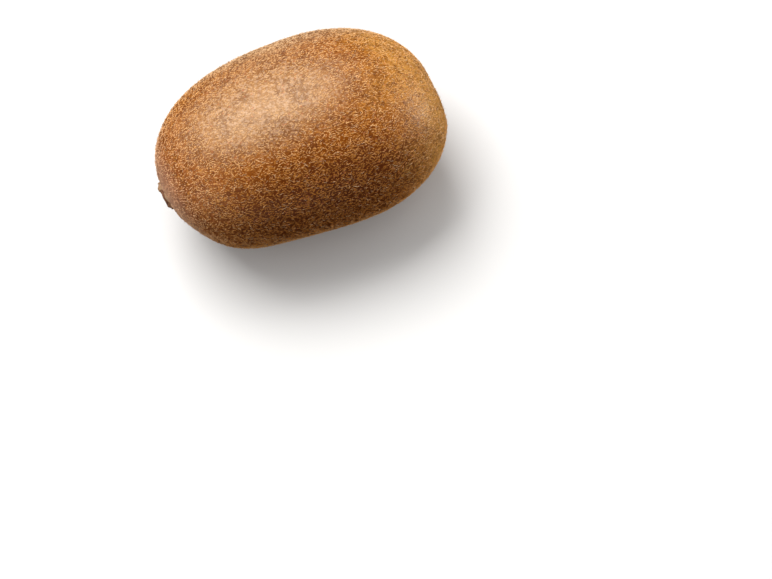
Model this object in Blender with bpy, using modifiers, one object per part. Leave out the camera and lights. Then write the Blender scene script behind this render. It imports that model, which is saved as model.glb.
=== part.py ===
"""Golden kiwi fruit, lying on its side on a small flat spot.

Metres, +Z up. +X runs from the stem end to the blossom end, and the origin is on the flat resting
spot, straight below the middle of the fruit's weight. The fruit is one solid; the dried calyx and
the dried styles are woody pieces of their own, seated in its two ends.
"""

import math
import random

import bmesh
import bpy
from mathutils import Matrix, Vector, noise

# The fruit's body: two half barrels that meet at its widest section
STEM_HALF = 0.0420  # widest section to the stem end
BLOSSOM_HALF = 0.0337  # widest section to the blossom end
WIDTH = 0.0520
HEIGHT = 0.0498
STEM_BLUNTNESS = 2.53  # superellipse power of the profile: 2 is an ellipse
BLOSSOM_BLUNTNESS = 2.30
BEND = 0.0018  # how far both ends swing towards -Y
BALANCE_X, BALANCE_Y = 0.0038, 0.0003  # bring the middle of the weight over the origin
REST_FLAT = 0.0003  # how much of the underside the resting spot takes off

# How each end leans off the long axis: metres along X for each metre of Y or Z
STEM_LEAN_Y, STEM_LEAN_Z = 0.08, 0.13
BLOSSOM_LEAN_Y = 0.051
# How far each end's middle lies off the long axis
STEM_SHIFT_Y, STEM_SHIFT_Z = -0.0006, -0.0017
BLOSSOM_SHIFT_Y = -0.0037

# Faint ribs along the fruit, and slow waves in its skin
RIBS = 5
RIB_RISE = 0.00010
RIB_TURN = 0.7  # turns the ribs round the fruit, radians
WAVE_RISE = 0.00016
WAVE_SIZE = 0.013

# Broad low swellings, and flats where the rise is negative, each as the place of its middle,
# measured from the middle of the widest section, with its spread and its rise
SWELLINGS = (
    (-0.012, -0.025, -0.006, 0.012, -0.0010),
    (0.033, -0.002, 0.006, 0.008, -0.0005),
    (-0.027, 0.020, 0.007, 0.008, 0.0002),
    (-0.038, 0.012, 0.005, 0.007, -0.0003),
    (-0.036, -0.015, -0.002, 0.007, -0.0010),
)

# The seat of the calyx in the stem end, with the low collar of skin round it
SEAT_RADIUS = 0.0044
SEAT_DEPTH = 0.00045
COLLAR_RADIUS = 0.0058
COLLAR_SPREAD = 0.0013
COLLAR_RISE = 0.0003

# The pit of the styles in the blossom end, in a low blunt nose
PIT_RADIUS = 0.0019
PIT_DEPTH = 0.0010
PIT_WALL = 0.0012
NOSE_RADIUS = 0.0042
NOSE_SPREAD = 0.0018
NOSE_RISE = 0.0003

GAP = 0.0003  # between a dried piece and the skin that it is seated in
END_PATCH = 0.06  # polar angle of the patch of skin that gives an end its direction

# The dried calyx: a woody stalk scar with five withered sepals round it
SCAR_RADIUS = 0.0023
SCAR_HEIGHT = 0.0008
SCAR_SIDES = 24
BLADE = 0.0006  # thickness of a sepal
CUP = 0.0003  # how far a sepal's two edges curl up
CRUMPLE = 0.0001  # how unevenly they have dried
# Each sepal: direction in degrees round the scar, length from the scar's edge, width, lift of its tip
SEPALS = (
    (66, 0.0017, 0.0026, 0.00065),
    (138, 0.0013, 0.0024, 0.00030),
    (212, 0.0016, 0.0025, 0.00030),
    (268, 0.0014, 0.0022, 0.00010),
    (344, 0.0015, 0.0025, 0.00045),
)

# The dried styles: a woody button with a ring of short withered stubs
BUTTON_RADIUS = 0.0013
BUTTON_HEIGHT = 0.0005
BUTTON_SIDES = 20
STUBS_INNER, STUBS_OUTER = 6, 12
STUB_LENGTH = 0.0009
STUB_RADIUS = 0.00016

ROUND = 72  # sides round the fruit
RINGS = 48  # rings from end to end
END_CROWDING = 0.6  # draws the rings towards the two ends


def smooth_step(low, high, value):
    """0 below low, 1 above high, with a smooth rise between."""
    share = min(1.0, max(0.0, (value - low) / (high - low)))
    return share * share * (3 - 2 * share)


def bump(value, middle, spread):
    """A rounded rise of 1 at middle."""
    return math.exp(-(((value - middle) / spread) ** 2))


def plain_skin(polar, turn):
    """The skin with no seat or pit. polar runs from 0 at the stem end to pi at the blossom end."""
    along = -math.cos(polar)
    stem_side = along < 0
    half = STEM_HALF if stem_side else BLOSSOM_HALF
    power = 2 / (STEM_BLUNTNESS if stem_side else BLOSSOM_BLUNTNESS)
    reach = abs(along) ** power
    x = math.copysign(half * reach, along)
    radius = max(0.0, math.sin(polar)) ** power
    towards_end = (1 - radius) ** 2
    y = WIDTH / 2 * radius * math.cos(turn)
    z = HEIGHT / 2 * radius * math.sin(turn)
    if stem_side:
        y += STEM_SHIFT_Y * towards_end
        z += STEM_SHIFT_Z * towards_end
        x -= (STEM_LEAN_Y * y + STEM_LEAN_Z * z) * reach**4
    else:
        y += BLOSSOM_SHIFT_Y * towards_end
        x += BLOSSOM_LEAN_Y * y * reach**4
    y -= BEND * reach * reach
    return Vector((x, y, z))


def end_frame(polar, outwards):
    """Frame at an end of the fruit: its origin on the skin, its Z straight out of it, its X near +Z."""
    middle = plain_skin(polar, 0)
    spokes = [plain_skin(abs(polar - END_PATCH), math.tau * k / 8) - middle for k in range(8)]
    normal = Vector()
    for spoke, next_spoke in zip(spokes, spokes[1:] + spokes[:1]):
        normal += spoke.cross(next_spoke)
    normal.normalize()
    if normal.x * outwards < 0:
        normal.negate()
    side = (Vector((0, 0, 1)) - normal * normal.z).normalized()
    frame = Matrix((side, normal.cross(side), normal)).transposed().to_4x4()
    frame.translation = middle
    return frame


STEM_END = end_frame(0, -1)
BLOSSOM_END = end_frame(math.pi, 1)


def height_and_radius(point, frame):
    """A point's height above an end's own plane, and its distance from that end's axis."""
    local = frame.inverted() @ point
    return local.z, math.hypot(local.x, local.y)


def seated_skin(point):
    """The skin with the calyx's seat and collar, and the styles' pit and nose."""
    height, radius = height_and_radius(point, STEM_END)
    if height > -STEM_HALF / 2:
        wall = smooth_step(SEAT_RADIUS, COLLAR_RADIUS, radius)
        collar = COLLAR_RISE * bump(radius, COLLAR_RADIUS, COLLAR_SPREAD) * wall
        wanted = (height + collar) * wall - SEAT_DEPTH * (1 - wall)
        point = point + STEM_END.col[2].to_3d() * (wanted - height)
    height, radius = height_and_radius(point, BLOSSOM_END)
    if height > -BLOSSOM_HALF / 2:
        wall = smooth_step(PIT_RADIUS, PIT_RADIUS + PIT_WALL, radius)
        nose = NOSE_RISE * bump(radius, NOSE_RADIUS, NOSE_SPREAD) * wall
        wanted = (height + nose) * wall - PIT_DEPTH * (1 - wall)
        point = point + BLOSSOM_END.col[2].to_3d() * (wanted - height)
    return point


def relief(point, polar, turn):
    """How far the skin stands out there, for its ribs, waves and swellings."""
    rise = RIB_RISE * math.cos(RIBS * turn + RIB_TURN) * math.sin(polar) ** 2
    rise += WAVE_RISE * noise.noise(point / WAVE_SIZE)
    for x, y, z, spread, height in SWELLINGS:
        rise += height * bump((point - Vector((x, y, z))).length, 0, spread)
    return rise


def straight_out(point):
    """The direction out of the fruit there, as on the ellipsoid of the fruit's three sizes."""
    half = STEM_HALF if point.x < 0 else BLOSSOM_HALF
    return Vector((point.x / half**2, point.y * 4 / WIDTH**2, point.z * 4 / HEIGHT**2)).normalized()


def material(name, colour, roughness):
    made = bpy.data.materials.new(name)
    made.use_nodes = True
    shader = made.node_tree.nodes["Principled BSDF"]
    shader.inputs["Base Color"].default_value = (*colour, 1)
    shader.inputs["Roughness"].default_value = roughness
    shader.inputs["Metallic"].default_value = 0
    return made


def new_object(name, mesh, collection, surface=None):
    made = bpy.data.objects.new(name, mesh)
    collection.objects.link(made)
    if surface:
        mesh.materials.append(surface)
    return made


def mesh_of(shape, name):
    """The mesh of a finished bmesh."""
    mesh = bpy.data.meshes.new(name)
    shape.to_mesh(mesh)
    shape.free()
    return mesh


def apply_modifiers(made):
    """Replaces the object's mesh by what its modifiers make of it."""
    graph = bpy.context.evaluated_depsgraph_get()
    finished = bpy.data.meshes.new_from_object(made.evaluated_get(graph))
    made.modifiers.clear()
    made.data = finished


def union(base, extras):
    """Joins every object of the collection extras to base, as one closed body, and removes them."""
    join = base.modifiers.new("Union", "BOOLEAN")
    join.operation = "UNION"
    join.operand_type = "COLLECTION"
    join.collection = extras
    join.solver = "MANIFOLD"
    apply_modifiers(base)
    for extra in list(extras.objects):
        bpy.data.objects.remove(extra)
    bpy.data.collections.remove(extras)


def helper_collection(name):
    made = bpy.data.collections.new(name)
    bpy.context.scene.collection.children.link(made)
    return made


def make_fruit(parts, surface):
    """The body: a sphere drawn out into the fruit's form, with its underside pressed flat."""
    shape = bmesh.new()
    bmesh.ops.create_uvsphere(shape, u_segments=ROUND, v_segments=RINGS, radius=1)
    floor = -HEIGHT / 2 + REST_FLAT
    for vertex in shape.verts:
        polar = math.acos(max(-1.0, min(1.0, -vertex.co.z)))
        polar -= END_CROWDING / 2 * math.sin(2 * polar)
        turn = math.atan2(vertex.co.y, vertex.co.x)
        plain = plain_skin(polar, turn)
        point = seated_skin(plain + straight_out(plain) * relief(plain, polar, turn))
        point.z = max(point.z, floor)
        vertex.co = point + Vector((BALANCE_X, BALANCE_Y, -floor))
    made = new_object("fruit", mesh_of(shape, "fruit"), parts, surface)
    made.data.shade_smooth()
    return made


def turned(name, profile, sides, collection):
    """A profile of (radius, height) points, from the top of the axis down, turned round Z."""
    mesh = bpy.data.meshes.new(name)
    points = [(radius, 0, height) for radius, height in profile]
    mesh.from_pydata(points, [(k, k + 1) for k in range(len(points) - 1)], [])
    made = new_object(name, mesh, collection)
    screw = made.modifiers.new("Screw", "SCREW")
    screw.steps = screw.render_steps = sides
    screw.use_merge_vertices = True
    screw.merge_threshold = 0.00001
    apply_modifiers(made)
    return made


def sepal(name, direction, length, width, lift, collection):
    """A withered sepal: a short leaf that stands off the skin, cupped, with a crumpled edge."""
    draw = random.Random(direction)
    shape = bmesh.new()
    bmesh.ops.create_grid(shape, x_segments=6, y_segments=4, size=0.5)
    root = SCAR_RADIUS * 0.6
    base = GAP + BLADE / 2
    for vertex in shape.verts:
        along = vertex.co.x + 0.5
        across = vertex.co.y * 2
        taper = math.sin(math.pi * (0.22 + 0.66 * along)) ** 0.7  # widest before the middle
        crumple = CRUMPLE * draw.uniform(-1, 1) * abs(across) * along
        rounding = 1 - 0.18 * across**2  # draws the tip's corners in
        radius = root + (SCAR_RADIUS + length - root) * along * rounding + crumple
        rise = lift * along**2 + CUP * across**2 * along + crumple
        vertex.co = Vector((radius, width / 2 * across * taper, base + rise))
    made = new_object(name, mesh_of(shape, name), collection)
    wall = made.modifiers.new("Solidify", "SOLIDIFY")
    wall.thickness = BLADE
    wall.offset = 0
    apply_modifiers(made)
    made.rotation_euler.z = math.radians(direction)
    return made


def make_calyx(parts, surface):
    """The stalk's woody scar, hollowed in the middle, with the five withered sepals fused to it."""
    top = GAP + SCAR_HEIGHT
    profile = (
        (0, top - 0.0004),
        (SCAR_RADIUS * 0.30, top - 0.0004),
        (SCAR_RADIUS * 0.48, top - 0.0001),
        (SCAR_RADIUS * 0.68, top),
        (SCAR_RADIUS * 0.90, top - 0.0002),
        (SCAR_RADIUS, top - 0.0005),
        (SCAR_RADIUS * 0.92, GAP),
        (0, GAP),
    )
    made = turned("calyx", profile, SCAR_SIDES, parts)
    sepals = helper_collection("sepals")
    for number, shape in enumerate(SEPALS):
        sepal(f"sepal_{number}", *shape, sepals)
    bpy.context.view_layer.update()
    union(made, sepals)
    made.data.materials.clear()
    made.data.materials.append(surface)
    seat = Matrix.Translation((0, 0, -SEAT_DEPTH))
    made.matrix_world = placed(STEM_END) @ seat
    return made


def stub(name, radius, direction, lean, length, collection):
    """One dried style: a slim stub, rooted in the button and leaning outwards."""
    shape = bmesh.new()
    bmesh.ops.create_cone(
        shape,
        cap_ends=True,
        segments=5,
        radius1=STUB_RADIUS,
        radius2=STUB_RADIUS * 0.55,
        depth=length,
        matrix=Matrix.Translation((0, 0, length / 2)),
    )
    made = new_object(name, mesh_of(shape, name), collection)
    root = GAP + BUTTON_HEIGHT / 2
    spot = Matrix.Rotation(direction, 4, "Z") @ Matrix.Translation((radius, 0, root))
    made.matrix_world = spot @ Matrix.Rotation(lean, 4, "Y")
    return made


def make_styles(parts, surface):
    """The woody button in the pit, with two rings of dried stubs fused to it."""
    top = GAP + BUTTON_HEIGHT
    profile = (
        (0, top),
        (BUTTON_RADIUS * 0.55, top - 0.00004),
        (BUTTON_RADIUS * 0.90, top - 0.00016),
        (BUTTON_RADIUS, top - 0.0003),
        (BUTTON_RADIUS * 0.94, GAP),
        (0, GAP),
    )
    made = turned("dried_styles", profile, BUTTON_SIDES, parts)
    stubs = helper_collection("stubs")
    draw = random.Random(11)
    # Each ring: how many stubs, its share of the button's radius, and how far they lean out
    rings = ((STUBS_INNER, 0.36, 0.22), (STUBS_OUTER, 0.72, 0.50))
    for count, share, lean in rings:
        for k in range(count):
            direction = math.tau * (k + draw.uniform(-0.15, 0.15)) / count + share
            stub(
                f"stub_{count}_{k}",
                BUTTON_RADIUS * share,
                direction,
                lean * draw.uniform(0.7, 1.1),
                STUB_LENGTH * draw.uniform(0.75, 1.1),
                stubs,
            )
    bpy.context.view_layer.update()
    union(made, stubs)
    made.data.materials.clear()
    made.data.materials.append(surface)
    floor = Matrix.Translation((0, 0, -PIT_DEPTH))
    made.matrix_world = placed(BLOSSOM_END) @ floor
    return made


def placed(frame):
    """An end's frame where the finished fruit has it."""
    return Matrix.Translation((BALANCE_X, BALANCE_Y, HEIGHT / 2 - REST_FLAT)) @ frame


def main():
    for old in list(bpy.data.objects):
        bpy.data.objects.remove(old)
    parts = helper_collection("golden_kiwi")
    skin = material("skin", (0.33, 0.145, 0.048), 0.6)
    dried = material("dried_calyx", (0.13, 0.062, 0.030), 0.85)
    styles = material("dried_styles", (0.085, 0.045, 0.026), 0.9)
    make_fruit(parts, skin)
    make_calyx(parts, dried)
    make_styles(parts, styles)


main()
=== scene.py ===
import math
import random

import bmesh
import bpy
import numpy as np
from mathutils import Matrix, Vector


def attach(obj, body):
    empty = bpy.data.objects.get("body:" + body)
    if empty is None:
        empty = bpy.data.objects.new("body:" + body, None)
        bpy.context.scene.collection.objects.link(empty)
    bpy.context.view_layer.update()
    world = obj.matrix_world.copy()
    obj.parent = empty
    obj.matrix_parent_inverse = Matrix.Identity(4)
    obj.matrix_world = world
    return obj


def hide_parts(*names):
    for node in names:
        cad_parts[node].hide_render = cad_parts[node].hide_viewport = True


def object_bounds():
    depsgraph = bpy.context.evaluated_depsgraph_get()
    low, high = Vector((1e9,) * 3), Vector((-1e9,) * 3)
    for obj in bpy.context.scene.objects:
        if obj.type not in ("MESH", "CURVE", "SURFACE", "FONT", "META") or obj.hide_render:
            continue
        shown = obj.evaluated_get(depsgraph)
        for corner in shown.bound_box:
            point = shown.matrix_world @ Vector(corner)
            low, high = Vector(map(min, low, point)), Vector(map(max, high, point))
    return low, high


# A golden kiwi fruit on a pale floor: brown skin with corky flecks and fine down, the dried calyx at
# its stem end and the dried styles at its blossom end. Metres, +Z up, +X to the blossom end. Each
# piece's sizes and colours are in dictionaries beside the code that uses them.

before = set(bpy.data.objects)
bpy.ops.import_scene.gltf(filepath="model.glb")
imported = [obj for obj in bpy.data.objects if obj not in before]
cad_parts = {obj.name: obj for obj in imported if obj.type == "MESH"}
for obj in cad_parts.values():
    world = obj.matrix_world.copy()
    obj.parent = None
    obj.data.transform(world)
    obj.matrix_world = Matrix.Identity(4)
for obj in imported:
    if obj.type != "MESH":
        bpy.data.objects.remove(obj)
cadLow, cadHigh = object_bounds()
mm = 0.001
print("stage: frame loaded")


# Selecting, modifiers and joining

def pick(piece):
    # the only selected object, and the active one
    bpy.ops.object.select_all(action="DESELECT")
    piece.select_set(True)
    bpy.context.view_layer.objects.active = piece


def finishWith(piece, kind, **settings):
    # adds a modifier and applies it
    pick(piece)
    modifier = piece.modifiers.new(kind, kind)
    for setting, value in settings.items():
        setattr(modifier, setting, value)
    bpy.ops.object.modifier_apply(modifier=modifier.name)


def editFaces(piece, chosen):
    # goes into edit mode with only the faces selected for which chosen(face) holds
    pick(piece)
    bpy.ops.object.mode_set(mode="EDIT")
    bpy.ops.mesh.select_mode(type="FACE")
    mesh = bmesh.from_edit_mesh(piece.data)
    for face in mesh.faces:
        face.select_set(chosen(face))
    mesh.select_flush_mode()
    bmesh.update_edit_mesh(piece.data)


def leaveEdit():
    bpy.ops.object.mode_set(mode="OBJECT")


def moveVertices(piece, rule):
    # puts every vertex where rule(place) says
    for vertex in piece.data.vertices:
        vertex.co = rule(vertex.co.copy())
    piece.data.update()


def joined(pieces, name):
    # makes one object of several
    pick(pieces[0])
    for piece in pieces[1:]:
        piece.select_set(True)
    bpy.ops.object.join()
    pieces[0].name = pieces[0].data.name = name
    return pieces[0]


def placeAt(piece, spot):
    # moves a piece made at the origin to its spot, and leaves the place in its mesh
    pick(piece)
    piece.matrix_world = spot
    bpy.ops.object.transform_apply(location=True, rotation=True, scale=True)


def cloudTexture(name, size, depth):
    texture = bpy.data.textures.new(name, "CLOUDS")
    texture.noise_scale = size
    texture.noise_depth = depth
    return texture


def seatOf(node):
    # frame of a dried piece: origin in the middle of its flat underside, Z out of the fruit, X near up
    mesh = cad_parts[node].data
    mesh.calc_loop_triangles()
    flats = {}
    for triangle in mesh.loop_triangles:
        facing = tuple(round(part, 2) for part in triangle.normal)
        flats.setdefault(facing, []).append(triangle)
    underside = max(flats.values(), key=lambda group: sum(t.area for t in group))
    total = sum(triangle.area for triangle in underside)
    middle = sum((triangle.center * triangle.area for triangle in underside), Vector()) / total
    out = -sum((triangle.normal * triangle.area for triangle in underside), Vector()).normalized()
    up = (Vector((0, 0, 1)) - out * out.z).normalized()
    seat = Matrix((up, out.cross(up), out)).transposed().to_4x4()
    seat.translation = middle
    return seat


calyxSeat = seatOf("calyx")
stylesSeat = seatOf("dried_styles")
seatGap = 0.3 * mm  # the solids stop this far above the skin, and the visible pieces sit on it


# Material nodes

def newMaterial(name):
    material = bpy.data.materials.new(name)
    material.use_nodes = True
    tree = material.node_tree
    return material, tree, tree.nodes["Principled BSDF"]


def addNode(tree, kind, inputs=None, **settings):
    made = tree.nodes.new("ShaderNode" + kind)
    for setting, value in settings.items():
        setattr(made, setting, value)
    for name, value in (inputs or {}).items():
        if isinstance(value, bpy.types.NodeSocket):
            tree.links.new(value, made.inputs[name])
        else:
            made.inputs[name].default_value = value
    return made


def objectPlaces(tree):
    return addNode(tree, "TexCoord").outputs["Object"]


def calc(tree, operation, first, second=0.0, third=0.0):
    return addNode(tree, "Math", {0: first, 1: second, 2: third}, operation=operation).outputs[0]


def fade(tree, value, low, high):
    # 0 where value is at low, 1 where it is at high, smooth between
    made = addNode(tree, "MapRange", {"Value": value, "From Min": low, "From Max": high},
                   interpolation_type="SMOOTHSTEP")
    return made.outputs["Result"]


def mixed(tree, share, first, second):
    # first where share is 0, second where it is 1
    made = tree.nodes.new("ShaderNodeMix")
    made.data_type = "RGBA"
    for index, value in ((0, share), (6, first), (7, second)):
        if isinstance(value, bpy.types.NodeSocket):
            tree.links.new(value, made.inputs[index])
        elif index:
            made.inputs[index].default_value = (*value, 1)
        else:
            made.inputs[index].default_value = value
    return made.outputs[2]


def painted(tree, ground, share, most, colour):
    # the colour laid over the ground where share is 1, covering it by most at the most
    return mixed(tree, calc(tree, "MULTIPLY", share, most), ground, colour)


def cloudy(tree, places, size, detail=2.0, roughness=0.5, turn=0.0):
    # noise with lumps of about that size, 0 to 1
    shifted = addNode(tree, "Mapping", {"Vector": places, "Location": (turn, turn, turn)})
    made = addNode(tree, "TexNoise", {"Vector": shifted.outputs[0], "Scale": 1 / size,
                                      "Detail": detail, "Roughness": roughness})
    return made.outputs["Fac"]


def distanceTo(tree, places, point):
    return addNode(tree, "VectorMath", {0: places, 1: tuple(point)},
                   operation="DISTANCE").outputs["Value"]


def nearness(tree, places, name, reach):
    # 1 at one of skinPlaces, 0 far from it, wider along the fruit than across it
    squeeze = skinPlaces["squeeze"]
    squeezed = addNode(tree, "Mapping", {"Vector": places, "Scale": squeeze}).outputs[0]
    return fade(tree, distanceTo(tree, squeezed, skinPlaces[name] * squeeze), *reach)


def bumpFrom(tree, height, strength, depth):
    return addNode(tree, "Bump", {"Height": height, "Strength": strength,
                                  "Distance": depth}).outputs["Normal"]


# The skin: the frame's fruit, smoothed, with the slight unevenness that its form has up close

skinForm = {
    "smoothing": 2,  # subdivision levels
    "wavesSize": 4.0 * mm, "wavesRise": 0.12 * mm,
    "grainSize": 1.3 * mm, "grainRise": 0.05 * mm,
}


skinPlaces = {
    "paintedHighlight": Vector((-9, 4.5, 48)) * mm,  # painted highlight: paler where the light's highlight falls, and smoother there
    "paintedShade": Vector((1, -22.5, 35)) * mm,  # painted shade: deeper coloured on the side turned from the light
    "paintedRimReflection": Vector((3, 25.5, 32)) * mm,  # painted reflection of the lit floor: duller, more beige along the back
    "squeeze": Vector((0.5, 1, 1)),  # all reach further along the fruit than across it
}
# where each place begins to show and where it is at its full, measured from its middle
skinReach = {"paintedHighlight": (17 * mm, 5 * mm), "paintedShade": (21 * mm, 8 * mm), "paintedRimReflection": (19 * mm, 7 * mm)}


def makeSkin():
    skin = bpy.data.objects.new("fruitSkin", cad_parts["fruit"].data.copy())
    bpy.context.scene.collection.objects.link(skin)
    skin.data.materials.clear()
    pick(skin)
    bpy.ops.object.mode_set(mode="EDIT")
    bpy.ops.mesh.select_all(action="SELECT")
    bpy.ops.mesh.remove_doubles(threshold=0.01 * mm)
    bpy.ops.mesh.tris_convert_to_quads(face_threshold=math.radians(40),
                                       shape_threshold=math.radians(80))
    bpy.ops.mesh.normals_make_consistent(inside=False)
    leaveEdit()
    level = skinForm["smoothing"]
    finishWith(skin, "SUBSURF", levels=level, render_levels=level)
    waves = cloudTexture("skinWaves", skinForm["wavesSize"], 2)
    grain = cloudTexture("skinGrain", skinForm["grainSize"], 1)
    finishWith(skin, "DISPLACE", texture=waves, texture_coords="LOCAL",
               strength=skinForm["wavesRise"], mid_level=0.5)
    finishWith(skin, "DISPLACE", texture=grain, texture_coords="LOCAL",
               strength=skinForm["grainRise"], mid_level=0.5)
    # the flat spot that it rests on stays level
    moveVertices(skin, lambda place: Vector((place.x, place.y, max(place.z, 0))))
    bpy.ops.object.shade_smooth()
    return skin


# Scattering copies of a small model over the skin

def skinArrays(skin):
    mesh = skin.data
    mesh.calc_loop_triangles()
    corners = np.empty(len(mesh.loop_triangles) * 3, np.int32)
    mesh.loop_triangles.foreach_get("vertices", corners)
    places = np.empty(len(mesh.vertices) * 3)
    mesh.vertices.foreach_get("co", places)
    normals = np.empty(len(mesh.vertices) * 3)
    mesh.vertices.foreach_get("normal", normals)
    return corners.reshape(-1, 3), places.reshape(-1, 3), normals.reshape(-1, 3)


def spotsOn(skin, count, spacing, draw, keep):
    # random places on the skin that stay apart, with the skin's normals there
    corners, places, normals = skinArrays(skin)
    a, b, c = (places[corners[:, k]] for k in range(3))
    area = np.linalg.norm(np.cross(b - a, c - a), axis=1)
    tries = draw.choice(len(corners), size=4 * count, p=area / area.sum())
    first, second = draw.random((2, len(tries), 1))
    folded = first + second > 1
    first = np.where(folded, 1 - first, first)
    second = np.where(folded, 1 - second, second)
    third = 1 - first - second
    found = a[tries] * third + b[tries] * first + c[tries] * second
    facing = sum(normals[corners[tries, k]] * share for k, share in enumerate((third, first, second)))
    facing /= np.linalg.norm(facing, axis=1)[:, None]
    likely = draw.random(len(tries)) < keep(found)
    found, facing = found[likely], facing[likely]
    taken, chosen = {}, []
    cells = np.floor(found / spacing).astype(int)
    near = [(x, y, z) for x in (-1, 0, 1) for y in (-1, 0, 1) for z in (-1, 0, 1)]
    for index, (cell, place) in enumerate(zip(map(tuple, cells), found)):
        close = (taken.get((cell[0] + x, cell[1] + y, cell[2] + z)) for x, y, z in near)
        if any(other is not None and np.dot(place - other, place - other) < spacing**2
               for other in close):
            continue
        taken[cell] = place
        chosen.append(index)
        if len(chosen) == count:
            break
    return found[chosen], facing[chosen]


def lumpy(places, size, seed):
    # smooth waves in all directions, with humps of about that size, mostly between -1 and 1
    draw = np.random.default_rng(seed)
    total = np.zeros(len(places))
    for wave in range(9):
        way = draw.normal(size=3)
        way *= draw.uniform(0.7, 1.4) * math.pi / size / np.linalg.norm(way)
        total += np.sin(places @ way + draw.uniform(0, math.tau))
    return total / 3


def scatter(name, model, spots, facing, headings, sizes, tints, bends, tapers):
    # one mesh with a copy of the model at every spot: heading is the copy's own X, sizes scale its
    # axes, bends curve it sideways and tapers narrow it towards its front
    side = np.cross(facing, headings)
    side /= np.linalg.norm(side, axis=1)[:, None]
    ahead = np.cross(side, facing)
    shape = np.array([vertex.co for vertex in model.data.vertices])
    faces = [tuple(face.vertices) for face in model.data.polygons]
    many = len(spots)
    shapes = np.repeat(shape[None, :, :], many, 0)
    shapes[:, :, 1] *= 1 - tapers[:, None] * shapes[:, :, 0]
    shapes *= sizes[:, None, :]
    shapes[:, :, 1] += bends[:, None] * shapes[:, :, 0] ** 2 / sizes[:, :1]
    axes = np.stack([ahead, side, facing], axis=1)
    placed = np.einsum("nvk,nkd->nvd", shapes, axes) + spots[:, None, :]
    allFaces = []
    for face in faces:
        allFaces.append(np.array(face)[None, :] + len(shape) * np.arange(many)[:, None])
    mesh = bpy.data.meshes.new(name)
    mesh.from_pydata(placed.reshape(-1, 3).tolist(), [],
                     [row for group in allFaces for row in group.tolist()])
    tint = mesh.attributes.new("tint", "FLOAT", "POINT")
    tint.data.foreach_set("value", np.repeat(tints, len(shape)).astype(np.float32))
    mesh.shade_smooth()
    mesh.set_sharp_from_angle(angle=math.radians(80))
    piece = bpy.data.objects.new(name, mesh)
    bpy.context.scene.collection.objects.link(piece)
    bpy.data.objects.remove(model)
    return piece


def swept(facing, direction, draw, spread):
    # headings along the skin, near the given direction, turned at random by up to about spread radians
    along = np.array(direction) - facing * (facing @ np.array(direction))[:, None]
    along /= np.linalg.norm(along, axis=1)[:, None]
    side = np.cross(facing, along)
    turn = draw.normal(0, spread, len(facing))[:, None]
    return along * np.cos(turn) + side * np.sin(turn)


# Corky flecks: tiny raised scales that cover the skin, longer than wide

fleckForm = {
    "count": 14500, "spacing": 0.48 * mm, "seed": 4,
    "length": (0.50 * mm, 1.30 * mm), "width": (0.17 * mm, 0.31 * mm),
    "rise": (0.09 * mm, 0.18 * mm),
    "turned": 0.50,  # how far they turn off the fruit's length, radians
    "clump": 1.5 * mm, "bend": 0.8, "taper": 0.8,
}
grainForm = {
    "count": 9000, "spacing": 0.40 * mm, "seed": 12,
    "length": (0.28 * mm, 0.62 * mm), "width": (0.15 * mm, 0.28 * mm),
    "rise": (0.06 * mm, 0.12 * mm),
    "turned": 0.9, "clump": 1.1 * mm, "bend": 0.8, "taper": 1.0,
}


# Where the flecks thin out, in millimetres: share lost at the painted highlight and how far that reaches,
# share lost on the back, and start and width of each ramp on the back, at the pit and at the calyx
fleckCover = {
    "even": 0.7, "clumpy": 0.5, "uneven": 0.2, "unevenSize": 3.2 * mm, "least": 0.1,
    "highlightLoss": 0.7, "highlightReach": 10 * mm, "backLoss": 0.4, "back": (12, 8),
    "pit": (2, 8), "seat": (3.8, 2.8), "lowest": 0.3 * mm,
}


def ramp(values, start, width):
    # 0 below start, 1 from start + width on
    return np.clip((values - start) / width, 0, 1)


def fleckModel():
    bpy.ops.object.select_all(action="DESELECT")
    bpy.ops.mesh.primitive_cone_add(vertices=6, radius1=0.5, radius2=0, depth=1.25,
                                    location=(0, 0, 0.375))
    fleck = bpy.context.object
    pick(fleck)
    bpy.ops.object.transform_apply(location=True, rotation=True, scale=True)
    return fleck


def makeFlecks(skin, name, form):
    draw = np.random.default_rng(form["seed"])
    cover = fleckCover
    pit = np.array(stylesSeat.translation)
    seat = np.array(calyxSeat.translation)

    def keep(places):
        fromPit = np.linalg.norm(places - pit, axis=1) / mm
        fromSeat = np.linalg.norm(places - seat, axis=1) / mm
        density = cover["even"] + cover["clumpy"] * lumpy(places, form["clump"], form["seed"])
        density += cover["uneven"] * lumpy(places, cover["unevenSize"], form["seed"] + 2)
        density = np.clip(density, cover["least"], 1)
        fromHighlight = np.linalg.norm((places - skinPlaces["paintedHighlight"]) * skinPlaces["squeeze"], axis=1)
        density *= 1 - cover["highlightLoss"] * np.exp(-(fromHighlight / cover["highlightReach"]) ** 2)
        density *= 1 - cover["backLoss"] * ramp(places[:, 1] / mm, *cover["back"])
        density *= places[:, 2] > cover["lowest"]
        return density * ramp(fromPit, *cover["pit"]) * ramp(fromSeat, *cover["seat"])

    spots, facing = spotsOn(skin, form["count"], form["spacing"], draw, keep)
    headings = swept(facing, (1, 0, 0), draw, form["turned"])
    many = len(spots)
    sizes = np.stack([draw.uniform(*form[key], many) for key in ("length", "width", "rise")], 1)
    tints = draw.random(many) ** 1.5 + 0.25 * lumpy(spots, form["clump"], form["seed"] + 1)
    bends = draw.uniform(-form["bend"], form["bend"], many)
    tapers = draw.uniform(-form["taper"], form["taper"], many)
    flecks = scatter(name, fleckModel(), spots, facing, headings, sizes, np.clip(tints, 0, 1),
                     bends, tapers)
    print("scattered:", name, many)
    return flecks


# Fine down: short bent hairs, lying along the skin towards the blossom end

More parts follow.
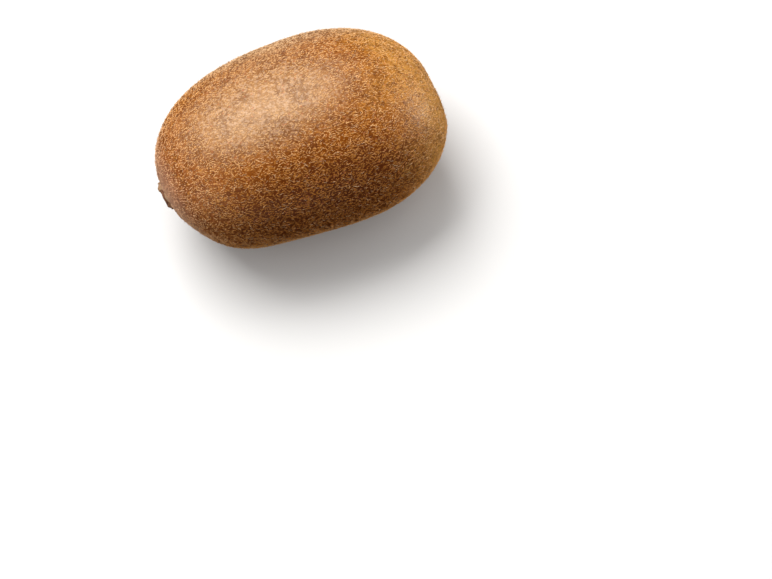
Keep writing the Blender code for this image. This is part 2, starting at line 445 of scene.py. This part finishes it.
downForm = {
    "count": 8000, "spacing": 0.50 * mm, "seed": 9,
    "length": (0.55 * mm, 1.20 * mm), "thickness": (0.05 * mm, 0.09 * mm),
    "bend": 2.6,  # how far the tip is bent aside, in thicknesses
    "turned": 0.7, "lift": (0.12, 0.36),  # share of its length that a hair rises
    # ramps in millimetres, start and width: round the calyx, above the floor, and from front to back
    "seat": (3.8, 2), "low": (0.8, 2), "front": (-24, 20), "frontLeast": 0.3,
}


def hairModel():
    # a tapering, bent hair of length 1 and thickness 1
    bpy.ops.object.select_all(action="DESELECT")
    bpy.ops.mesh.primitive_cone_add(vertices=3, radius1=0.5, radius2=0.45, depth=0.4,
                                    location=(0, 0, 0.15))
    hair = bpy.context.object
    pick(hair)
    bpy.ops.object.transform_apply(location=True, rotation=True, scale=True)
    editFaces(hair, lambda face: face.normal.z > 0.9)
    bpy.ops.mesh.extrude_region_move(TRANSFORM_OT_translate={"value": (0, 0, 0.35)})
    bpy.ops.transform.resize(value=(0.8, 0.8, 1))
    bpy.ops.mesh.extrude_region_move(TRANSFORM_OT_translate={"value": (0, 0, 0.3)})
    bpy.ops.mesh.merge(type="CENTER")
    leaveEdit()
    bend = downForm["bend"]
    moveVertices(hair, lambda place: Vector((place.x + bend * place.z**2, place.y, place.z)))
    return hair


def makeDown(skin):
    draw = np.random.default_rng(downForm["seed"])
    seat = np.array(calyxSeat.translation)

    def keep(places):
        fromSeat = np.linalg.norm(places - seat, axis=1) / mm
        density = ramp(fromSeat, *downForm["seat"]) * ramp(places[:, 2] / mm, *downForm["low"])
        front = ramp(places[:, 1] / mm, *downForm["front"])
        return density * np.maximum(front, downForm["frontLeast"])

    spots, facing = spotsOn(skin, downForm["count"], downForm["spacing"], draw, keep)
    headings = swept(facing, (1, 0, 0), draw, downForm["turned"])
    many = len(spots)
    lift = draw.uniform(*downForm["lift"], (many, 1))
    # a hair stands along its own Z, so its Z is laid down along the heading
    up = headings * (1 - lift) + facing * lift
    up /= np.linalg.norm(up, axis=1)[:, None]
    thick = draw.uniform(*downForm["thickness"], many)
    sizes = np.stack([thick, thick, draw.uniform(*downForm["length"], many)], 1)
    sideways = np.cross(headings, facing) * draw.choice((-1, 1), (many, 1))
    straight = np.zeros(many)
    down = scatter("fineDown", hairModel(), spots, up, sideways, sizes, draw.random(many),
                   straight, straight)
    print("hairs:", many)
    return down


# The dried calyx: the stalk's scar, and five withered sepals round it

calyxForm = {
    "radius": 2.5 * mm, "height": 1.55 * mm, "sink": 0.15 * mm, "rim": 0.40 * mm,
    # insets from the scar's edge inwards: width in rims, depth
    "steps": ((1, 0.06 * mm), (0.6, -0.40 * mm), (0.7, -0.02 * mm), (0.5, 0.12 * mm)),
    "fibreSize": 0.35 * mm, "fibreRise": 0.26 * mm, "scarTone": 0.05,
    # the sepals: thickness, how far their corners are cut back and their edges wave, fray and cup,
    # and the depth of their creases, ripples and pleats
    "blade": 0.18 * mm, "cut": 0.30 * mm, "wave": 0.10 * mm, "fray": 0.07 * mm, "cup": 0.10 * mm,
    "crease": 0.10 * mm, "ripple": 0.06 * mm, "pleat": 0.04 * mm, "lift": 0.11 * mm,
    "wrinkleSize": 0.40 * mm, "wrinkleRise": 0.24 * mm,
}
# Each sepal: direction round the scar in degrees, reach of its flat part from the scar's middle, width,
# height, place and length of its hump, how far its tip curls up in radians, how wide the curl is, tone
sepalForms = (
    {"turn": 87, "reach": 3.75 * mm, "width": 3.1 * mm, "hump": 1.85 * mm, "peak": 0.30,
     "spread": 0.50, "curl": 2.2, "roll": 0.62 * mm, "tone": 0.7},
    {"turn": 146, "reach": 3.4 * mm, "width": 3.2 * mm, "hump": 1.00 * mm, "peak": 0.22,
     "spread": 0.28, "curl": 1.0, "roll": 0.60 * mm, "tone": 0.6},
    {"turn": 211, "reach": 3.3 * mm, "width": 3.2 * mm, "hump": 1.00 * mm, "peak": 0.22,
     "spread": 0.28, "curl": 0.8, "roll": 0.70 * mm, "tone": 0.5},
    {"turn": 272, "reach": 3.0 * mm, "width": 2.9 * mm, "hump": 1.42 * mm, "peak": 0.30,
     "spread": 0.42, "curl": 2.0, "roll": 0.48 * mm, "tone": 0.25},
    {"turn": 345, "reach": 3.5 * mm, "width": 3.6 * mm, "hump": 0.92 * mm, "peak": 0.20,
     "spread": 0.30, "curl": 0.5, "roll": 0.90 * mm, "tone": 0.85},
)


def onSkin(piece, skin):
    # lifts a piece made round the calyx's middle so that its height 0 lies on the skin all over
    toSeat = calyxSeat.inverted()
    inward = -calyxSeat.to_3x3().col[2]

    def lift(place):
        start = calyxSeat @ Vector((place.x, place.y, 6 * mm))
        found = skin.ray_cast(start, inward)[1]
        return place + Vector((0, 0, (toSeat @ found).z))

    moveVertices(piece, lift)


def paintTone(piece, tone):
    # tone is one number, or a rule that gives it for a place
    rule = tone if callable(tone) else lambda place: tone
    attribute = piece.data.attributes.new("tint", "FLOAT", "POINT")
    attribute.data.foreach_set("value", [rule(vertex.co) for vertex in piece.data.vertices])


def makeScar(skin):
    form = calyxForm
    depth = form["height"] + form["sink"]
    bpy.ops.object.select_all(action="DESELECT")
    bpy.ops.mesh.primitive_cylinder_add(vertices=48, radius=form["radius"], depth=depth,
                                        location=(0, 0, form["height"] - depth / 2))
    scar = bpy.context.object
    pick(scar)
    bpy.ops.object.transform_apply(location=True, rotation=True, scale=True)
    editFaces(scar, lambda face: face.normal.z > 0.9)
    for rims, step in form["steps"]:
        bpy.ops.mesh.inset(thickness=form["rim"] * rims, depth=step)
    leaveEdit()
    finishWith(scar, "SUBSURF", levels=2, render_levels=2)
    fibre = cloudTexture("scarFibre", form["fibreSize"], 3)
    finishWith(scar, "DISPLACE", texture=fibre, texture_coords="LOCAL", strength=form["fibreRise"],
               mid_level=0.5)
    onSkin(scar, skin)
    paintTone(scar, form["scarTone"])
    return scar


def makeSepal(skin, form, seed):
    draw = random.Random(seed)
    waves = [draw.uniform(0, math.tau) for k in range(3)]
    bpy.ops.object.select_all(action="DESELECT")
    bpy.ops.mesh.primitive_grid_add(x_subdivisions=22, y_subdivisions=12, size=1)
    sepal = bpy.context.object
    root = calyxForm["radius"] * 0.62  # under the scar's rim

    def shape(place):
        # the first 0.6 of its length lies on the skin, with the hump, and the rest curls up
        along = place.x + 0.5
        across = place.y * 2
        edge = abs(across)
        flat = min(along / 0.6, 1)
        bent = max(0, (along - 0.6) / 0.4)
        angle = form["curl"] * bent
        x = root + (form["reach"] - root) * flat + form["roll"] * math.sin(angle)
        x -= calyxForm["cut"] * edge**2 * along
        x += calyxForm["wave"] * math.sin(8 * across + waves[2]) * along
        x += calyxForm["fray"] * math.sin(19 * across + waves[0]) * along**2
        y = form["width"] / 2 * across * (1 - 0.2 * along) * (1 - 0.55 * bent**2)
        rise = form["roll"] * (1 - math.cos(angle)) + calyxForm["cup"] * edge**3 * along
        crumple = calyxForm["crease"] * math.sin(7 * across + waves[0]) * along
        crumple += calyxForm["ripple"] * math.sin(9 * along + 3 * across + waves[1])
        crumple += calyxForm["pleat"] * math.cos(15 * across + waves[2])
        hump = form["hump"] * math.exp(-((along - form["peak"]) / form["spread"]) ** 2)
        hump *= 1 - 0.8 * edge**2
        return Vector((x, y, calyxForm["lift"] + hump + rise + crumple))

    moveVertices(sepal, shape)
    finishWith(sepal, "SOLIDIFY", thickness=calyxForm["blade"], offset=0)
    finishWith(sepal, "SUBSURF", levels=1, render_levels=1)
    wrinkles = cloudTexture("sepalWrinkles", calyxForm["wrinkleSize"], 3)
    finishWith(sepal, "DISPLACE", texture=wrinkles, texture_coords="LOCAL",
               strength=calyxForm["wrinkleRise"], mid_level=0.5)
    placeAt(sepal, Matrix.Rotation(math.radians(form["turn"]), 4, "Z"))
    onSkin(sepal, skin)
    # painted shade: each sepal darkens towards its root, where it runs under the scar's rim
    paintTone(sepal, lambda place: form["tone"] * min(max(place.xy.length / mm - 1.4, 0.3), 1))
    return sepal


def makeCalyx(skin):
    pieces = [makeScar(skin)]
    for number, form in enumerate(sepalForms):
        pieces.append(makeSepal(skin, form, number))
    calyx = joined(pieces, "driedCalyx")
    placeAt(calyx, calyxSeat)
    pick(calyx)
    bpy.ops.object.shade_smooth_by_angle(angle=math.radians(50))
    return calyx


# The dried styles: a woody button with a tuft of withered stubs

stylesForm = {
    "radius": 1.3 * mm, "height": 0.55 * mm, "seed": 21,
    "lumpSize": 0.3 * mm, "lumpRise": 0.12 * mm, "buttonTone": 0.2,
    # rings of stubs: how many, how far out in radii, how far they lean in radians
    "rings": ((2, 0.1, 0.10), (7, 0.36, 0.20), (12, 0.62, 0.32), (16, 0.90, 0.50)),
    "length": (0.60 * mm, 1.05 * mm), "thickness": 0.30 * mm,
    # a stub's joints from its root to its tip: shift aside in millimetres, growth
    "joints": ((0.03, 0.9), (0.06, 0.95), (0.10, 1.35), (0.06, 0.6)), "jointLength": 0.2 * mm,
}


def makeButton():
    form = stylesForm
    bpy.ops.object.select_all(action="DESELECT")
    bpy.ops.mesh.primitive_cylinder_add(vertices=32, radius=form["radius"], depth=form["height"],
                                        location=(0, 0, form["height"] / 2 - seatGap))
    button = bpy.context.object
    pick(button)
    bpy.ops.object.transform_apply(location=True, rotation=True, scale=True)
    editFaces(button, lambda face: face.normal.z > 0.9)
    bpy.ops.mesh.inset(thickness=form["radius"] * 0.25, depth=0.14 * mm)
    bpy.ops.mesh.inset(thickness=form["radius"] * 0.3, depth=0.03 * mm)
    leaveEdit()
    finishWith(button, "SUBSURF", levels=2, render_levels=2)
    lumps = cloudTexture("buttonLumps", form["lumpSize"], 2)
    finishWith(button, "DISPLACE", texture=lumps, texture_coords="LOCAL", strength=form["lumpRise"],
               mid_level=0.5)
    paintTone(button, form["buttonTone"])
    return button


def makeStub():
    # one withered style: a slim stem that leans aside a little and ends in a tip that swells, then narrows
    thick = stylesForm["thickness"]
    bpy.ops.object.select_all(action="DESELECT")
    bpy.ops.mesh.primitive_cone_add(vertices=6, radius1=0.5 * thick, radius2=0.40 * thick,
                                    depth=0.3 * mm, location=(0, 0, 0.15 * mm))
    stub = bpy.context.object
    pick(stub)
    bpy.ops.object.transform_apply(location=True, rotation=True, scale=True)
    for shift, grow in stylesForm["joints"]:
        highest = max(vertex.co.z for vertex in stub.data.vertices)
        editFaces(stub, lambda face: face.calc_center_median().z > highest - 0.02 * mm)
        bpy.ops.mesh.extrude_region_move(
            TRANSFORM_OT_translate={"value": (shift * mm, 0, stylesForm["jointLength"])})
        bpy.ops.transform.resize(value=(grow, grow, 1))
        leaveEdit()
    return stub


def makeStyles():
    form = stylesForm
    draw = random.Random(form["seed"])
    pieces = [makeButton()]
    model = makeStub()
    tall = max(vertex.co.z for vertex in model.data.vertices)
    for count, share, lean in form["rings"]:
        for number in range(count):
            stub = bpy.data.objects.new("stub", model.data.copy())
            bpy.context.scene.collection.objects.link(stub)
            length = draw.uniform(*form["length"]) / tall
            turn = math.tau * (number + draw.uniform(-0.3, 0.3)) / count + share
            stand = Matrix.Rotation(turn, 4, "Z")
            stand @= Matrix.Translation((form["radius"] * share * 0.9, 0, 0.02 * mm))
            stand @= Matrix.Rotation(lean * draw.uniform(0.6, 1.3), 4, "Y")
            stand @= Matrix.Rotation(draw.uniform(-0.8, 0.8), 4, "Z")
            placeAt(stub, stand @ Matrix.Diagonal((1, 1, length, 1)))
            paintTone(stub, draw.uniform(0.1, 1.0))
            pieces.append(stub)
    bpy.data.objects.remove(model)
    styles = joined(pieces, "driedStyles")
    placeAt(styles, stylesSeat)
    pick(styles)
    bpy.ops.object.shade_smooth_by_angle(angle=math.radians(50))
    return styles


# Materials

skinColours = {
    "mid": (0.27, 0.070, 0.002), "gold": (0.48, 0.220, 0.040), "red": (0.29, 0.088, 0.018),
    "deep": (0.090, 0.016, 0.001), "pink": (0.56, 0.30, 0.195), "collar": (0.52, 0.30, 0.17),
    "streak": (0.60, 0.32, 0.08), "stroke": (0.55, 0.220, 0.034), "highlightPale": (0.42, 0.225, 0.090),
    "cream": (0.68, 0.45, 0.30), "paintedRimReflection": (0.50, 0.30, 0.16), "spot": (0.46, 0.150, 0.055),
}
# how much each marking covers at the most
skinShares = {
    "paintedHighlight": 0.75, "paintedShade": 0.95, "paintedRimReflection": 0.75, "patches": 0.42, "mottle": 0.6, "strokes": 0.4,
    "curls": 0.58, "glintsAndWear": 0.38, "streaks": 0.5, "spots": 0.6, "pores": 0.72, "pink": 0.82,
    "collar": 0.5,
}
# how large each marking is
skinSizes = {
    "broad": 14 * mm, "patches": 4.5 * mm, "mottle": 1.3 * mm, "wobble": 0.9 * mm,
    "wobbleReach": 0.35 * mm, "strokes": 0.36 * mm, "curls": 0.60 * mm, "curlGaps": 1.0 * mm,
    "pebbles": 0.85 * mm, "streaks": 0.55 * mm, "spots": 1.0 * mm, "pores": 0.30 * mm,
    "holes": 1.7 * mm,
}
skinFinish = {
    "roughness": (0.33, 0.40), "specular": 0.33, "specularTint": (1.0, 0.88, 0.70, 1),
    "bumpStrength": 0.8, "bumpDepth": 0.07 * mm, "pebbleBump": 1.5,
}


def skinMaterial():
    material, tree, shader = newMaterial("kiwiSkin")
    places = objectPlaces(tree)
    along = addNode(tree, "SeparateXYZ", {0: places}).outputs["X"]
    colours, shares, sizes, finish = skinColours, skinShares, skinSizes, skinFinish
    # the ground colour: redder to the stem end, more golden to the blossom end
    broad = cloudy(tree, places, sizes["broad"], 2, 0.5, 0.2)
    spread = calc(tree, "MULTIPLY_ADD", broad, 24 * mm, -12 * mm)
    shifted = calc(tree, "ADD", along, spread)
    colour = mixed(tree, fade(tree, shifted, 12 * mm, 34 * mm), colours["mid"], colours["gold"])
    colour = mixed(tree, fade(tree, shifted, -12 * mm, -34 * mm), colour, colours["red"])
    # painted highlight: paler where the light's highlight falls; painted shade: deeper on the side turned
    # from the light; painted reflection: more beige along the back
    paintedHighlight = nearness(tree, places, "paintedHighlight", skinReach["paintedHighlight"])
    colour = painted(tree, colour, paintedHighlight, shares["paintedHighlight"], colours["highlightPale"])
    paintedShade = nearness(tree, places, "paintedShade", skinReach["paintedShade"])
    colour = painted(tree, colour, paintedShade, shares["paintedShade"], colours["deep"])
    paintedRimReflection = nearness(tree, places, "paintedRimReflection", skinReach["paintedRimReflection"])
    colour = painted(tree, colour, paintedRimReflection, shares["paintedRimReflection"], colours["paintedRimReflection"])
    patches = fade(tree, cloudy(tree, places, sizes["patches"], 3, 0.6, 0.3), 0.42, 0.64)
    colour = painted(tree, colour, patches, shares["patches"], colours["deep"])
    mottle = fade(tree, cloudy(tree, places, sizes["mottle"], 2, 0.6, 0.6), 0.48, 0.66)
    # less mottle, and further down fewer strokes and pores, inside the painted highlight
    offHighlight = calc(tree, "MULTIPLY_ADD", paintedHighlight, -0.75, 1.0)
    mottle = calc(tree, "MULTIPLY", mottle, offHighlight)
    colour = painted(tree, colour, mottle, shares["mottle"], colours["deep"])
    # short pale strokes between the raised flecks, bent a little
    wobble = addNode(tree, "TexNoise", {"Vector": places, "Scale": 1 / sizes["wobble"], "Detail": 1.0})
    reach = (sizes["wobbleReach"],) * 3
    bent = addNode(tree, "VectorMath", {0: wobble.outputs["Color"], 1: reach, 2: places},
                   operation="MULTIPLY_ADD").outputs[0]
    stretched = addNode(tree, "Mapping", {"Vector": bent, "Scale": (0.45, 1, 1)}).outputs[0]
    cells = addNode(tree, "TexVoronoi", {"Vector": stretched, "Scale": 1 / sizes["strokes"]})
    strokes = fade(tree, cells.outputs["Distance"], 0.50, 0.20)
    kind = addNode(tree, "SeparateColor", {0: cells.outputs["Color"]}).outputs[0]
    strokes = calc(tree, "MULTIPLY", strokes, fade(tree, kind, 0.42, 0.85))
    fewer = calc(tree, "MULTIPLY", fade(tree, shifted, 44 * mm, 30 * mm), offHighlight)
    strokes = calc(tree, "MULTIPLY", strokes, fewer)
    colour = painted(tree, colour, strokes, shares["strokes"], colours["stroke"])
    # thin curly strokes along the middle value of a noise, left out here and there
    curls = cloudy(tree, stretched, sizes["curls"], 1, 0.5, 0.9)
    curls = calc(tree, "ABSOLUTE", calc(tree, "SUBTRACT", curls, 0.5))
    gaps = fade(tree, cloudy(tree, places, sizes["curlGaps"], 1, 0.5, 1.2), 0.47, 0.60)
    curls = calc(tree, "MULTIPLY", fade(tree, curls, 0.08, 0.03), gaps)
    curls = calc(tree, "MULTIPLY", curls, fewer)
    colour = painted(tree, colour, curls, shares["curls"], colours["stroke"])
    # painted glints: cream patches on the pebbly skin inside the painted highlight
    pebbles = cloudy(tree, bent, sizes["pebbles"], 1, 0.5, 0.8)
    glintsAndWear = calc(tree, "MULTIPLY", fade(tree, pebbles, 0.47, 0.62), paintedHighlight)
    colour = painted(tree, colour, glintsAndWear, shares["glintsAndWear"], colours["cream"])
    # lengthwise streaks towards the blossom end
    stretch = addNode(tree, "Mapping", {"Vector": places, "Scale": (0.2, 1, 1)}).outputs[0]
    streaks = fade(tree, cloudy(tree, stretch, sizes["streaks"], 2, 0.6), 0.50, 0.62)
    streaks = calc(tree, "MULTIPLY", streaks, fade(tree, shifted, 16 * mm, 32 * mm))
    colour = painted(tree, colour, streaks, shares["streaks"], colours["streak"])
    # a few reddish spots
    spots = addNode(tree, "TexVoronoi", {"Vector": bent, "Scale": 1 / sizes["spots"]})
    few = addNode(tree, "SeparateColor", {0: spots.outputs["Color"]}).outputs[1]
    spots = calc(tree, "MULTIPLY", fade(tree, spots.outputs["Distance"], 0.34, 0.20),
                 calc(tree, "GREATER_THAN", few, 0.80))
    colour = painted(tree, colour, spots, shares["spots"], colours["spot"])
    # fine dark pores, and some larger ones far apart
    fine = cloudy(tree, places, sizes["pores"], 2, 0.6, 0.1)
    pores = fade(tree, fine, 0.48, 0.30)
    holes = addNode(tree, "TexVoronoi", {"Vector": bent, "Scale": 1 / sizes["holes"]})
    pores = calc(tree, "MAXIMUM", pores, fade(tree, holes.outputs["Distance"], 0.13, 0.07))
    pores = calc(tree, "MULTIPLY", pores, calc(tree, "MULTIPLY_ADD", paintedHighlight, -0.5, 1.0))
    colour = painted(tree, colour, pores, shares["pores"], colours["deep"])
    # pinkish round the calyx, with a pale uneven collar close to it
    fromSeat = distanceTo(tree, places, calyxSeat.translation)
    pink = fade(tree, fromSeat, 18.0 * mm, 5.5 * mm)
    colour = painted(tree, colour, pink, shares["pink"], colours["pink"])
    uneven = calc(tree, "MULTIPLY_ADD", fine, 2.0 * mm, fromSeat)
    collar = fade(tree, uneven, 6.6 * mm, 4.4 * mm)
    colour = painted(tree, colour, collar, shares["collar"], colours["collar"])
    tree.links.new(colour, shader.inputs["Base Color"])
    low, high = finish["roughness"]
    rough = addNode(tree, "MapRange", {"Value": patches, "To Min": low, "To Max": high})
    tree.links.new(rough.outputs["Result"], shader.inputs["Roughness"])
    shader.inputs["Specular IOR Level"].default_value = finish["specular"]
    shader.inputs["Specular Tint"].default_value = finish["specularTint"]
    height = calc(tree, "ADD", fine, calc(tree, "MAXIMUM", strokes, curls))
    raised = calc(tree, "MULTIPLY", pebbles, calc(tree, "MULTIPLY", paintedHighlight, finish["pebbleBump"]))
    height = calc(tree, "ADD", height, raised)
    tree.links.new(bumpFrom(tree, height, finish["bumpStrength"], finish["bumpDepth"]),
                   shader.inputs["Normal"])
    return material


# Each fleck colour that is laid over the ground one has the most that it covers
fleckColours = {
    "dull": (0.56, 0.245, 0.058), "bright": (0.78, 0.45, 0.195),
    "broad": (0.25, (0.52, 0.21, 0.045)), "paintedShade": (0.75, (0.38, 0.122, 0.015)),
    "paintedRimReflection": (0.75, (0.66, 0.44, 0.25)), "paintedHighlight": (0.8, (0.66, 0.40, 0.19)),
    "pink": (0.85, (0.69, 0.395, 0.25)),
}


def fleckMaterial():
    material, tree, shader = newMaterial("corkyFleck")
    places = objectPlaces(tree)
    tint = addNode(tree, "Attribute", attribute_name="tint").outputs["Fac"]
    colour = mixed(tree, tint, fleckColours["dull"], fleckColours["bright"])
    broad = fade(tree, cloudy(tree, places, 5 * mm, 2, 0.5, 0.5), 0.35, 0.65)
    colour = painted(tree, colour, broad, *fleckColours["broad"])
    # painted shade on the flecks, on the side turned from the light
    paintedShade = nearness(tree, places, "paintedShade", skinReach["paintedShade"])
    colour = painted(tree, colour, paintedShade, *fleckColours["paintedShade"])
    # painted reflection of the lit floor along the back, on the flecks too
    paintedRimReflection = nearness(tree, places, "paintedRimReflection", skinReach["paintedRimReflection"])
    colour = painted(tree, colour, paintedRimReflection, *fleckColours["paintedRimReflection"])
    # painted highlight on the flecks, reaching a little further out than on the skin under them
    paintedHighlight = nearness(tree, places, "paintedHighlight", (19 * mm, 6 * mm))
    colour = painted(tree, colour, paintedHighlight, *fleckColours["paintedHighlight"])
    pink = fade(tree, distanceTo(tree, places, calyxSeat.translation), 25 * mm, 7 * mm)
    colour = painted(tree, colour, pink, *fleckColours["pink"])
    tree.links.new(colour, shader.inputs["Base Color"])
    shader.inputs["Roughness"].default_value = 0.55
    shader.inputs["Specular IOR Level"].default_value = 0.15
    grain = cloudy(tree, places, 0.12 * mm, 2)
    tree.links.new(bumpFrom(tree, grain, 0.4, 0.02 * mm), shader.inputs["Normal"])
    return material


downColours = {
    "brown": (0.54, 0.31, 0.145), "straw": (0.80, 0.57, 0.35), "glintsAndWear": (0.3, (0.58, 0.33, 0.15)),
}


def downMaterial():
    material, tree, shader = newMaterial("fineDown")
    tint = addNode(tree, "Attribute", attribute_name="tint").outputs["Fac"]
    places = objectPlaces(tree)
    colour = mixed(tree, tint, downColours["brown"], downColours["straw"])
    colour = painted(tree, colour, cloudy(tree, places, 6 * mm, 1), *downColours["glintsAndWear"])
    tree.links.new(colour, shader.inputs["Base Color"])
    shader.inputs["Roughness"].default_value = 0.6
    shader.inputs["Specular IOR Level"].default_value = 0.2
    return material


driedColours = {
    "calyx": {"dark": (0.13, 0.044, 0.020), "mid": (0.32, 0.155, 0.070), "pale": (0.58, 0.38, 0.22),
              "fibre": 0.5 * mm},
    "styles": {"dark": (0.045, 0.021, 0.011), "mid": (0.15, 0.080, 0.040), "pale": (0.36, 0.22, 0.12),
               "fibre": 0.3 * mm},
}


def driedMaterial(name, form):
    # dry woody tissue, darker or paler by each part's own tint
    material, tree, shader = newMaterial(name)
    places = objectPlaces(tree)
    tint = addNode(tree, "Attribute", attribute_name="tint").outputs["Fac"]
    rough = cloudy(tree, places, form["fibre"], 4, 0.65)
    fine = cloudy(tree, places, form["fibre"] / 4, 2, 0.6, 0.4)
    grain = calc(tree, "ADD", fade(tree, rough, 0.32, 0.68), fade(tree, fine, 0.35, 0.65))
    tone = calc(tree, "ADD", calc(tree, "MULTIPLY", tint, 0.8), calc(tree, "MULTIPLY", grain, 0.27))
    colour = mixed(tree, fade(tree, tone, 0.15, 0.65), form["dark"], form["mid"])
    colour = mixed(tree, fade(tree, tone, 0.65, 1.15), colour, form["pale"])
    tree.links.new(colour, shader.inputs["Base Color"])
    shader.inputs["Roughness"].default_value = 0.8
    tree.links.new(bumpFrom(tree, grain, 0.8, 0.06 * mm), shader.inputs["Normal"])
    return material


floorForm = {"size": 12, "dark": (0.61, 0.61, 0.61), "pale": (0.63, 0.63, 0.625), "clouds": 90 * mm}


def floorMaterial():
    material, tree, shader = newMaterial("paleFloor")
    places = objectPlaces(tree)
    clouds = cloudy(tree, places, floorForm["clouds"], 2)
    colour = mixed(tree, clouds, floorForm["dark"], floorForm["pale"])
    tree.links.new(colour, shader.inputs["Base Color"])
    shader.inputs["Roughness"].default_value = 0.85
    return material


def dress(piece, material):
    piece.data.materials.clear()
    piece.data.materials.append(material)


skin = makeSkin()
dress(skin, skinMaterial())
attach(skin, "root")
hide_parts("fruit")
print("stage: skin made")

fleckSurface = fleckMaterial()
for name, form in (("corkyFlecks", fleckForm), ("corkyGrains", grainForm)):
    flecks = makeFlecks(skin, name, form)
    dress(flecks, fleckSurface)
    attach(flecks, "root")

down = makeDown(skin)
dress(down, downMaterial())
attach(down, "root")
print("stage: flecks and down scattered")

calyx = makeCalyx(skin)
dress(calyx, driedMaterial("driedCalyx", driedColours["calyx"]))
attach(calyx, "root")
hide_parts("calyx")

styles = makeStyles()
dress(styles, driedMaterial("driedStyles", driedColours["styles"]))
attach(styles, "root")
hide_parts("dried_styles")
print("stage: calyx and styles made")


# Floor, light and camera

def makeFloor():
    bpy.ops.object.select_all(action="DESELECT")
    bpy.ops.mesh.primitive_plane_add(size=floorForm["size"], location=(0, 0, 0))
    floor = bpy.context.object
    floor.name = "floor"
    # no light off the floor on the fruit, as with dark cards laid round it
    floor.visible_glossy = False
    floor.visible_diffuse = False
    dress(floor, floorMaterial())
    return floor


# Soft lights: direction from the fruit's middle, distance, width and height in metres, watts
lightForms = {
    "key": {"direction": (-0.171, 0.470, 0.866), "distance": 1.1, "size": (0.78, 0.62), "power": 18.0},
    "right": {"direction": (0.97, -0.13, 0.14), "distance": 0.6, "size": (0.30, 0.27), "power": 2.6},
    "front": {"direction": (-0.25, -0.95, 0.04), "distance": 0.6, "size": (0.50, 0.16), "power": 0.25},
    "back": {"direction": (-0.32, 0.94, 0.07), "distance": 0.9, "size": (1.1, 0.40), "power": 0.9},
    "left": {"direction": (-0.85, -0.45, 0.30), "distance": 0.6, "size": (0.35, 0.25), "power": 0.75},
    "floorWash": {"direction": (0, 0, 1), "distance": 2.5, "size": (6.0, 6.0), "power": 95.0},
}
studioForm = {
    "fruitLight": (1.0, 0.985, 0.97), "floorLight": (1.0, 0.99, 0.98),
    "world": (1.0, 0.99, 0.98, 1), "worldStrength": 0.23,
}


def softbox(name, colour, receivers=None):
    # a rectangular light that looks at the fruit's middle, and lights only the receivers if given
    form = lightForms[name]
    toLight = Vector(form["direction"]).normalized()
    middle = Vector((0, 0, cadHigh.z / 2))
    light = bpy.data.lights.new(name, "AREA")
    light.shape = "RECTANGLE"
    light.size, light.size_y = form["size"]
    light.energy = form["power"]
    light.color = colour
    lamp = bpy.data.objects.new(name, light)
    bpy.context.scene.collection.objects.link(lamp)
    lamp.location = middle + toLight * form["distance"]
    lamp.rotation_euler = toLight.to_track_quat("Z", "Y").to_euler()
    lamp.visible_camera = False
    if receivers:
        only = bpy.data.collections.new(name + "Only")
        for piece in receivers:
            only.objects.link(piece)
        lamp.light_linking.receiver_collection = only


def makeLights(floor, fruit):
    softbox("key", studioForm["fruitLight"])
    # the low lights would draw lines on the floor, so they are kept off it
    for name in ("right", "front", "back", "left"):
        softbox(name, studioForm["fruitLight"], fruit)
    # a light on the floor alone keeps the shadow pale
    softbox("floorWash", studioForm["floorLight"], [floor])
    world = bpy.data.worlds.new("studio")
    bpy.context.scene.world = world
    world.use_nodes = True
    world.cycles_visibility.glossy = False
    background = world.node_tree.nodes["Background"]
    background.inputs["Color"].default_value = studioForm["world"]
    background.inputs["Strength"].default_value = studioForm["worldStrength"]


# Azimuth 0 looks along +Y. The aim is off the fruit's middle, because the fruit is up left in the picture.
cameraForm = {
    "lens": 100, "azimuth": -20.6, "elevation": 74.6, "distance": 0.5597,
    "aimRight": 21.9 * mm, "aimUp": -39.4 * mm, "middle": 24.8 * mm,
}


def makeCamera():
    azimuth = math.radians(cameraForm["azimuth"])
    elevation = math.radians(cameraForm["elevation"])
    back = Vector((math.sin(azimuth) * math.cos(elevation),
                   -math.cos(azimuth) * math.cos(elevation), math.sin(elevation)))
    right = Vector((math.cos(azimuth), math.sin(azimuth), 0))
    up = back.cross(right)
    aim = Vector((0, 0, cameraForm["middle"]))
    aim += right * cameraForm["aimRight"] + up * cameraForm["aimUp"]
    lens = bpy.data.cameras.new("camera")
    lens.lens = cameraForm["lens"]
    camera = bpy.data.objects.new("camera", lens)
    bpy.context.scene.collection.objects.link(camera)
    camera.matrix_world = Matrix((right, up, back)).transposed().to_4x4()
    camera.location = aim + back * cameraForm["distance"]
    bpy.context.scene.camera = camera


fruit = [piece for piece in bpy.context.scene.objects if piece.type == "MESH"]
makeLights(makeFloor(), fruit)
makeCamera()
bpy.context.scene.view_settings.view_transform = "Standard"
print("stage: floor, lights and camera placed")
